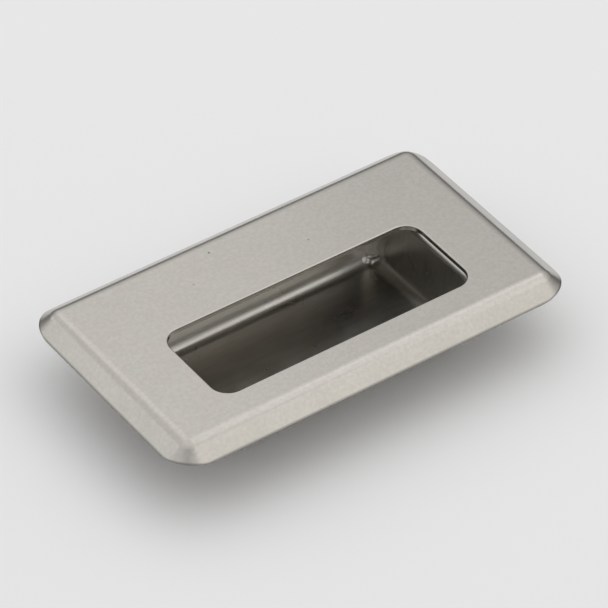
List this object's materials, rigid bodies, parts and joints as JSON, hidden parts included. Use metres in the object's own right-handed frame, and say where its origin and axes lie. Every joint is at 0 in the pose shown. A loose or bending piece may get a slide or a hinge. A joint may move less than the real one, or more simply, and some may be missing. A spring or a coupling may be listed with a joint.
{
  "type": "recessed pull handle",
  "caption": "Flush stainless pull handle: a dished rectangular faceplate with an offset opening over a deeper welded finger cup, held in a panel from behind by weld studs.",
  "frame": {"origin": "centre of the faceplate, on the panel face that its rim sits on", "axes": "+Z out of the panel towards the user, with the recess below Z = 0; +X along the handle; the pull lip is at +Y and the opening is set towards -Y"},
  "size_m": [0.1198, 0.0698, 0.0215],
  "materials": {
    "satin_face": "fine satin, slightly warm grey",
    "drawn_cup": "smooth as-drawn sheet, darker than the face",
    "stud_steel": "bright cold-formed stainless"
  },
  "bodies": {
    "root": {"faceplate": "satin_face", "pull_cup": "drawn_cup", "weld_stud_front_left": "stud_steel", "weld_stud_back_left": "stud_steel", "weld_stud_front_right": "stud_steel", "weld_stud_back_right": "stud_steel"}
  },
  "joints": []
}
